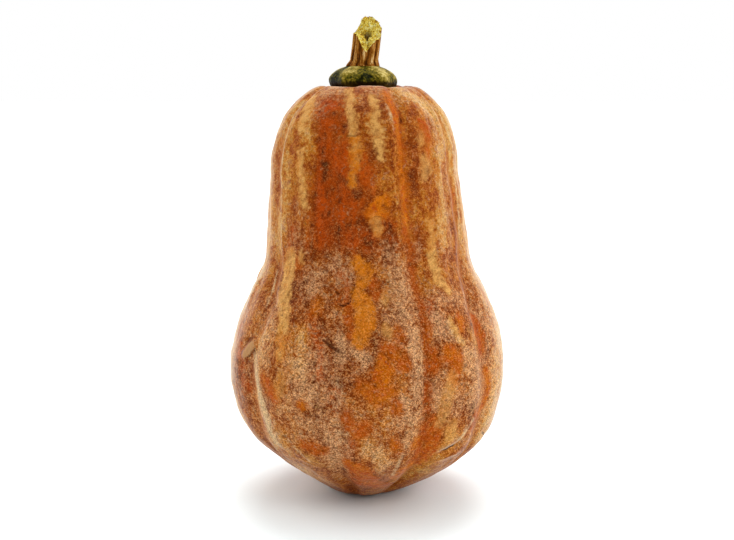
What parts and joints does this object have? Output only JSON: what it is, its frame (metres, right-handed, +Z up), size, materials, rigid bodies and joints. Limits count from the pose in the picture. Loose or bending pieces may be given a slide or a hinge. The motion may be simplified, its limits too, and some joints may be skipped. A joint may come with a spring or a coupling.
{
  "type": "butternut squash",
  "caption": "Whole ribbed butternut squash standing on its blossom end, with its flared collar and torn woody stem on top.",
  "frame": {"origin": "on the surface the squash stands on, below the middle of its bounding box", "axes": "+Z up along the fruit from blossom end to stem, -Y the front that the picture shows, +X to the picture's right"},
  "size_m": [0.1218, 0.1266, 0.211],
  "materials": {
    "rind": "waxy rind, matt, red-brown and ochre with greyish bloom",
    "stem": "dry woody stem over an olive-green collar, matt"
  },
  "bodies": {
    "root": {"fruit": "rind", "stem": "stem"}
  },
  "joints": []
}
